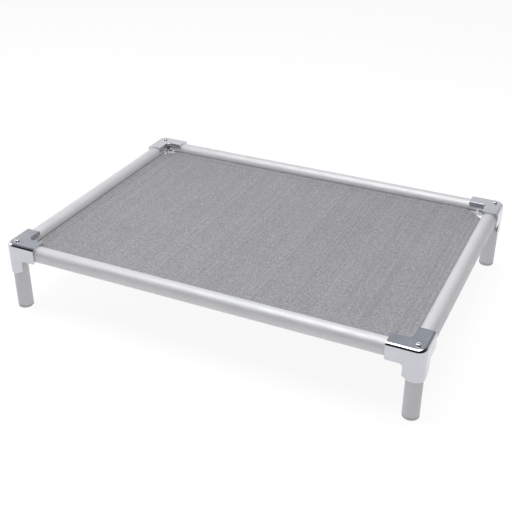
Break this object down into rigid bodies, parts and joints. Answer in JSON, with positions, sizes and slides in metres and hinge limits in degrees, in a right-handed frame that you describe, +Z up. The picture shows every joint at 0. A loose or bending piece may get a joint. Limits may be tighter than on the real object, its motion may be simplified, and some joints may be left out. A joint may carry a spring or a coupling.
{
  "type": "raised dog bed",
  "caption": "Raised dog bed: a taut woven sheet held in slotted aluminium tube rails, joined by corner castings to short round legs with foot caps.",
  "frame": {"origin": "on the floor, under the middle of the bed", "axes": "+X along the long rails, +Y from the front to the back, +Z up"},
  "size_m": [1.27, 0.914, 0.2268],
  "materials": {
    "anodised_tube": "satin clear-anodised extrusion",
    "cast_aluminium": "smooth casting with polished edges",
    "plug_aluminium": "turned",
    "bolt_steel": "bright",
    "foot_cap": "matt",
    "woven_sheet": "coarse plain weave of coated yarn",
    "hem_rod": "matt"
  },
  "bodies": {
    "root": {"front_rail": "anodised_tube", "front_hem_rod": "hem_rod", "front_rail_bolt_a": "bolt_steel", "front_rail_bolt_b": "bolt_steel", "right_rail": "anodised_tube", "right_hem_rod": "hem_rod", "right_rail_bolt_a": "bolt_steel", "right_rail_bolt_b": "bolt_steel", "back_rail": "anodised_tube", "back_hem_rod": "hem_rod", "back_rail_bolt_a": "bolt_steel", "back_rail_bolt_b": "bolt_steel", "left_rail": "anodised_tube", "left_hem_rod": "hem_rod", "left_rail_bolt_a": "bolt_steel", "left_rail_bolt_b": "bolt_steel", "front_left_corner_casting": "cast_aluminium", "front_left_leg": "anodised_tube", "front_left_leg_plug": "plug_aluminium", "front_left_foot_cap": "foot_cap", "front_left_leg_bolt": "bolt_steel", "front_left_leg_side_bolt": "bolt_steel", "front_right_corner_casting": "cast_aluminium", "front_right_leg": "anodised_tube", "front_right_leg_plug": "plug_aluminium", "front_right_foot_cap": "foot_cap", "front_right_leg_bolt": "bolt_steel", "front_right_leg_side_bolt": "bolt_steel", "back_right_corner_casting": "cast_aluminium", "back_right_leg": "anodised_tube", "back_right_leg_plug": "plug_aluminium", "back_right_foot_cap": "foot_cap", "back_right_leg_bolt": "bolt_steel", "back_right_leg_side_bolt": "bolt_steel", "back_left_corner_casting": "cast_aluminium", "back_left_leg": "anodised_tube", "back_left_leg_plug": "plug_aluminium", "back_left_foot_cap": "foot_cap", "back_left_leg_bolt": "bolt_steel", "back_left_leg_side_bolt": "bolt_steel", "woven_sheet": "woven_sheet"}
  },
  "joints": []
}
